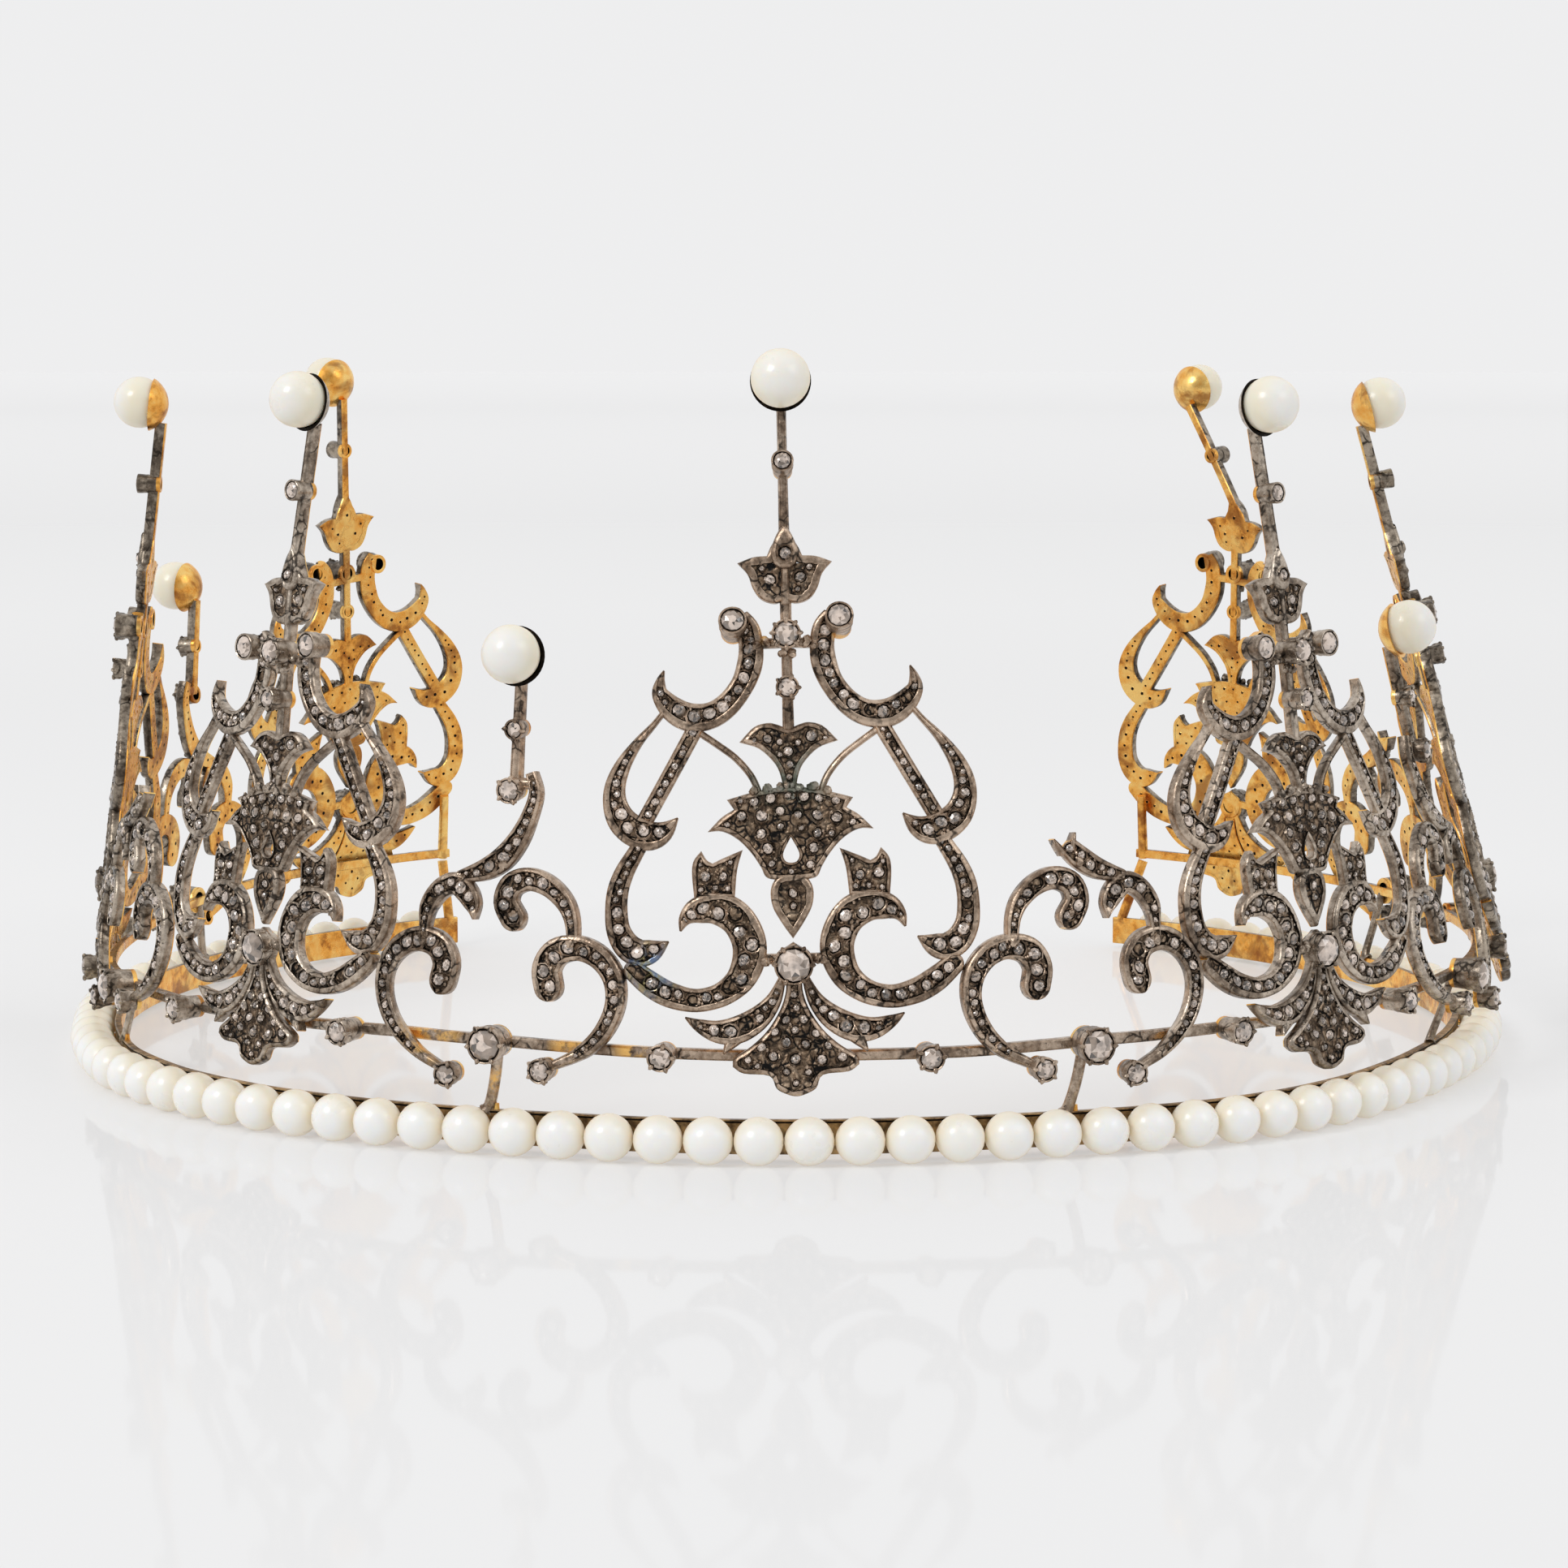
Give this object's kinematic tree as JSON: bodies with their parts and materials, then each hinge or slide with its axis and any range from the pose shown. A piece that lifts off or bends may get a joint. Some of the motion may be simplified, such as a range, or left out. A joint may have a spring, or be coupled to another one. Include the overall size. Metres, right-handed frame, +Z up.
{
  "type": "pearl tiara",
  "caption": "Openwork tiara of scrolled palmettes and sprays in silver on gold, set with rose-cut stones and pearls, on a band of pearls.",
  "frame": {"origin": "centre of the ring of band pearls, on the surface that the tiara stands on", "axes": "+Z up, -Y the front, +X to the right as the tiara is looked at from the front"},
  "size_m": [0.1722, 0.1539, 0.0819],
  "materials": {
    "band_gold": "aged yellow gold, satin",
    "band_pearl": "cream pearl lustre",
    "rail_silver": "tarnished silver with gold showing through at wear",
    "plate_silver": "tarnished silver front, yellow gold back",
    "large_pearl": "white pearl lustre",
    "cut_stone": "rose-cut, greyish"
  },
  "bodies": {
    "root": {"band": "band_gold", "band_pearls": "band_pearl", "gallery_rail": "rail_silver", "palmette_front": "plate_silver", "palmette_left_1": "plate_silver", "palmette_left_2": "plate_silver", "palmette_left_3": "plate_silver", "palmette_right_1": "plate_silver", "palmette_right_2": "plate_silver", "palmette_right_3": "plate_silver", "spray_left_1": "plate_silver", "spray_left_2": "plate_silver", "spray_left_3": "plate_silver", "spray_right_1": "plate_silver", "spray_right_2": "plate_silver", "spray_right_3": "plate_silver", "top_pearl_front": "large_pearl", "top_pearl_left_1": "large_pearl", "top_pearl_left_2": "large_pearl", "top_pearl_left_3": "large_pearl", "top_pearl_right_1": "large_pearl", "top_pearl_right_2": "large_pearl", "top_pearl_right_3": "large_pearl", "spray_pearl_left_1": "large_pearl", "spray_pearl_left_3": "large_pearl", "spray_pearl_right_2": "large_pearl", "palmette_stones": "cut_stone", "spray_stones": "cut_stone", "rail_stones": "cut_stone"}
  },
  "joints": []
}
